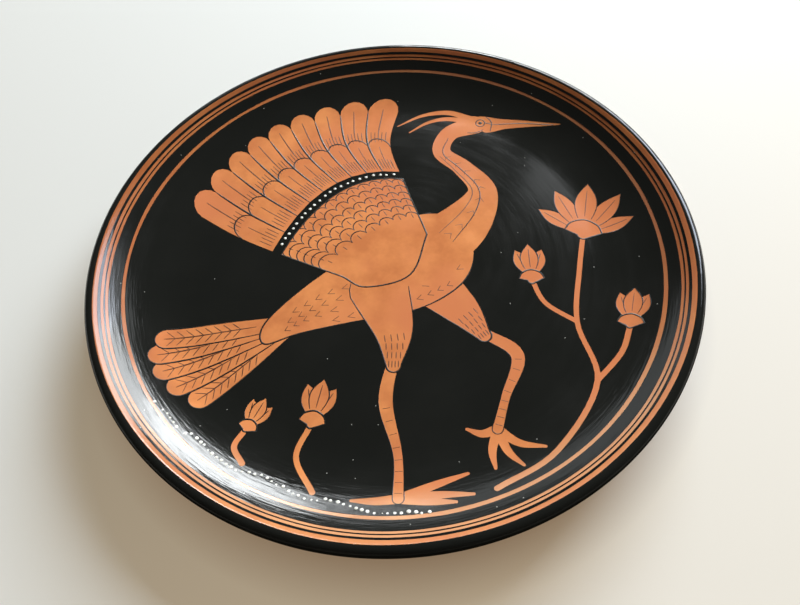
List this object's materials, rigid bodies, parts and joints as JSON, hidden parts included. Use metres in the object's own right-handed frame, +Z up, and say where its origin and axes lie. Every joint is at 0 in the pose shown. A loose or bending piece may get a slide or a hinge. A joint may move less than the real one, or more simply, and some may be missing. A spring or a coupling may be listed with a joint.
{
  "type": "plate",
  "caption": "Round shallow earthenware plate with a coved wall, thick upright lip and low foot ring, painted in glossy black slip that leaves rim stripes and a picture in bare clay.",
  "frame": {"origin": "on the plate's axis, in the plane that the foot ring stands on", "axes": "+Z up along the axis of turning; -Y towards the viewer of the picture, +X to the picture's right"},
  "size_m": [0.2814, 0.2814, 0.0351],
  "materials": {
    "clay": "satin burnished orange earthenware",
    "lute": "matt fired clay slip",
    "black_gloss": "glossy fired black slip with brush marks",
    "added_white": "matt cream slip"
  },
  "bodies": {
    "root": {"plate_body": "clay", "foot_ring": "clay", "luting_slip": "lute", "tondo_gloss": "black_gloss", "wall_gloss_band": "black_gloss", "inner_rim_line": "black_gloss", "outer_rim_line": "black_gloss", "outside_gloss": "black_gloss", "foot_gloss": "black_gloss"}
  },
  "joints": []
}
